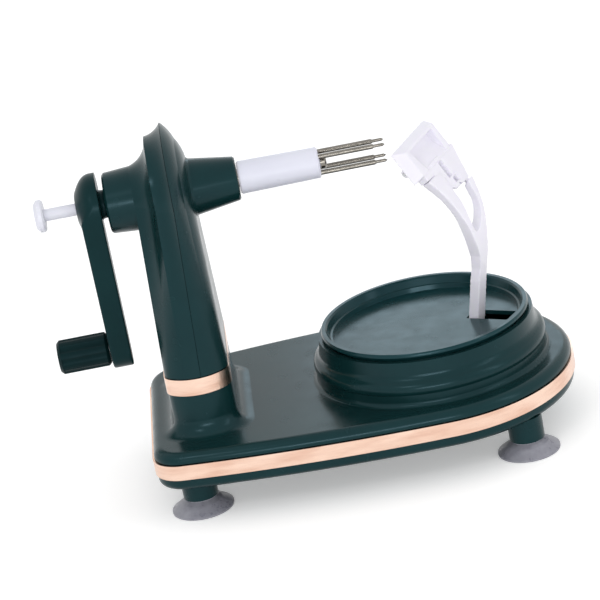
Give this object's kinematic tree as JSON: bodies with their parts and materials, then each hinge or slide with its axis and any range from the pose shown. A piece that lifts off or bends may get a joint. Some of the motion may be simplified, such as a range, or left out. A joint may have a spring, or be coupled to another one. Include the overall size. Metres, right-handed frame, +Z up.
{
  "type": "apple peeler",
  "caption": "Hand-cranked apple peeler: a column with a forked spindle and crank, and a geared dish that swings a peeling blade round the fruit.",
  "frame": {"origin": "on the table, under the middle of the whole peeler's extent", "axes": "+X from the crank towards the dish, along the fork; +Z up; +Y to the side away from the camera"},
  "size_m": [0.2602, 0.1454, 0.1897],
  "materials": {
    "green_plastic": "satin",
    "rose_metal": "satin",
    "white_plastic": "satin",
    "dish_plastic": "satin",
    "grip_plastic": "satin",
    "bush_plastic": "satin",
    "gear_plastic": "matte",
    "steel": "polished",
    "blade_steel": "polished",
    "cup_rubber": "satin"
  },
  "bodies": {
    "base": {"base_lower_shell": "green_plastic", "base_upper_shell": "green_plastic", "base_trim_band": "rose_metal", "base_screws": "steel", "suction_cup_1": "cup_rubber", "suction_cup_2": "cup_rubber", "suction_cup_3": "cup_rubber", "suction_cup_4": "cup_rubber", "column_ring": "rose_metal", "column_rear_shell": "green_plastic", "column_front_shell": "green_plastic", "rear_bush": "bush_plastic", "front_bush": "bush_plastic", "upper_shaft_bush": "bush_plastic", "lower_shaft_bush": "bush_plastic"},
    "crank": {"spindle": "steel", "spindle_gear": "gear_plastic", "fork_sleeve": "white_plastic", "fork_tines": "steel", "crank_arm": "green_plastic", "grip_pin": "steel"},
    "grip": {"crank_grip": "grip_plastic"},
    "ejector_rod": {"push_rod": "white_plastic", "ejector": "steel", "push_knob": "white_plastic"},
    "shaft": {"drive_shaft": "steel", "shaft_gear": "gear_plastic", "drive_pinion": "gear_plastic"},
    "middle_wheel": {"middle_gear": "gear_plastic"},
    "turntable": {"dish": "dish_plastic", "dish_gear": "gear_plastic", "gear_screws": "steel", "arm_pin": "steel", "arm_spring": "steel"},
    "arm": {"blade_arm": "white_plastic", "blade_head": "white_plastic", "blade_pins": "steel"},
    "blade": {"peeler_blade": "blade_steel"}
  },
  "joints": [
    {"name": "crank_spin", "type": "hinge", "parent": "base", "child": "crank", "pos_m": [-0.0618, 0, 0.1547], "axis": [1, 0, 0], "range_deg": [0, 2400]},
    {"name": "grip_spin", "type": "hinge", "parent": "crank", "child": "grip", "pos_m": [-0.1158, 0, 0.0779], "axis": [1, 0, 0], "continuous": true},
    {"name": "ejector_slide", "type": "slide", "parent": "crank", "child": "ejector_rod", "axis": [1, 0, 0], "range_m": [0, 0.015]},
    {"name": "shaft_spin", "type": "hinge", "parent": "base", "child": "shaft", "pos_m": [-0.0618, 0, 0.06], "axis": [0, 0, 1], "range_deg": [0, 2400]},
    {"name": "middle_gear_spin", "type": "hinge", "parent": "base", "child": "middle_wheel", "pos_m": [-0.0021, 0, 0.024], "axis": [0, 0, 1], "range_deg": [-480, 0]},
    {"name": "dish_turn", "type": "hinge", "parent": "base", "child": "turntable", "pos_m": [0.0576, 0, 0.0577], "axis": [0, 0, 1], "range_deg": [0, 96]},
    {"name": "arm_swing", "type": "hinge", "parent": "turntable", "child": "arm", "pos_m": [0.08198, 0.0017, 0.0437], "axis": [0.5446, 0.8387, 0], "range_deg": [0, 36], "stiffness_Nm_per_rad": 0.12, "springref_deg": -51.57, "deforming": ["arm_spring"]},
    {"name": "blade_swivel", "type": "hinge", "parent": "arm", "child": "blade", "pos_m": [0.06915, 0.00821, 0.1436], "axis": [0.5009, 0.8612, 0.0864], "range_deg": [-10, 10]}
  ],
  "couplings": [
    {"joint": "shaft_spin", "follows": "crank_spin", "ratio": 1},
    {"joint": "middle_gear_spin", "follows": "crank_spin", "ratio": -0.2},
    {"joint": "dish_turn", "follows": "crank_spin", "ratio": 0.04}
  ]
}
